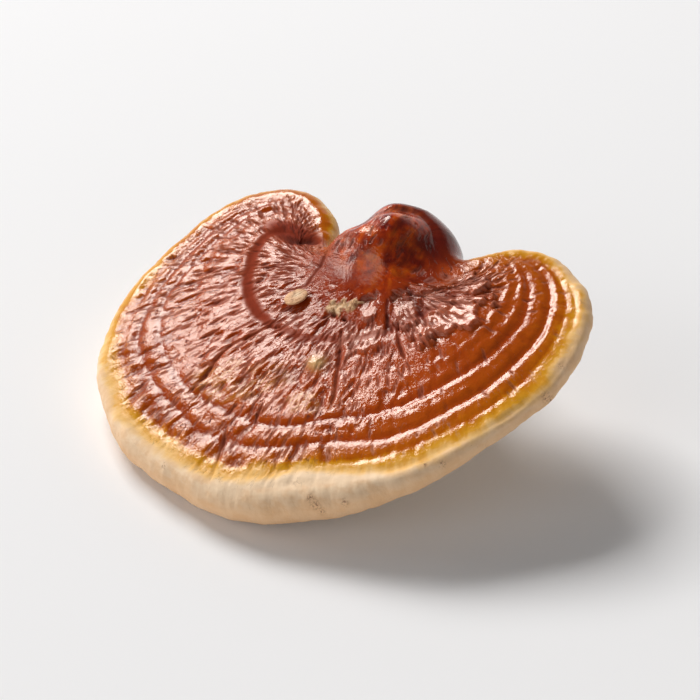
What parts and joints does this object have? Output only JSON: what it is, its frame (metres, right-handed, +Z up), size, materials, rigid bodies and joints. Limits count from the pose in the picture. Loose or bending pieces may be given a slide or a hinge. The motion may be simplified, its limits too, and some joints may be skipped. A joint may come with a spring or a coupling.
{
  "type": "reishi mushroom",
  "caption": "Kidney-shaped bracket mushroom with a glossy ringed cap, a thick pale rim and a short side stem cut flat at the foot.",
  "frame": {"origin": "middle of the bounding box in plan, on the surface that the margin and the cut stem rest on", "axes": "+X across the two lobes towards the thinner one, +Y from the front margin back to the stem, +Z up"},
  "size_m": [0.1451, 0.1114, 0.0564],
  "materials": {
    "lacquered_skin": "glossy lacquer-like red-brown crust, matte cream rim and pore side",
    "dry_wood": "dry and matte"
  },
  "bodies": {
    "root": {"fruiting_body": "lacquered_skin", "wood_chip": "dry_wood"}
  },
  "joints": []
}
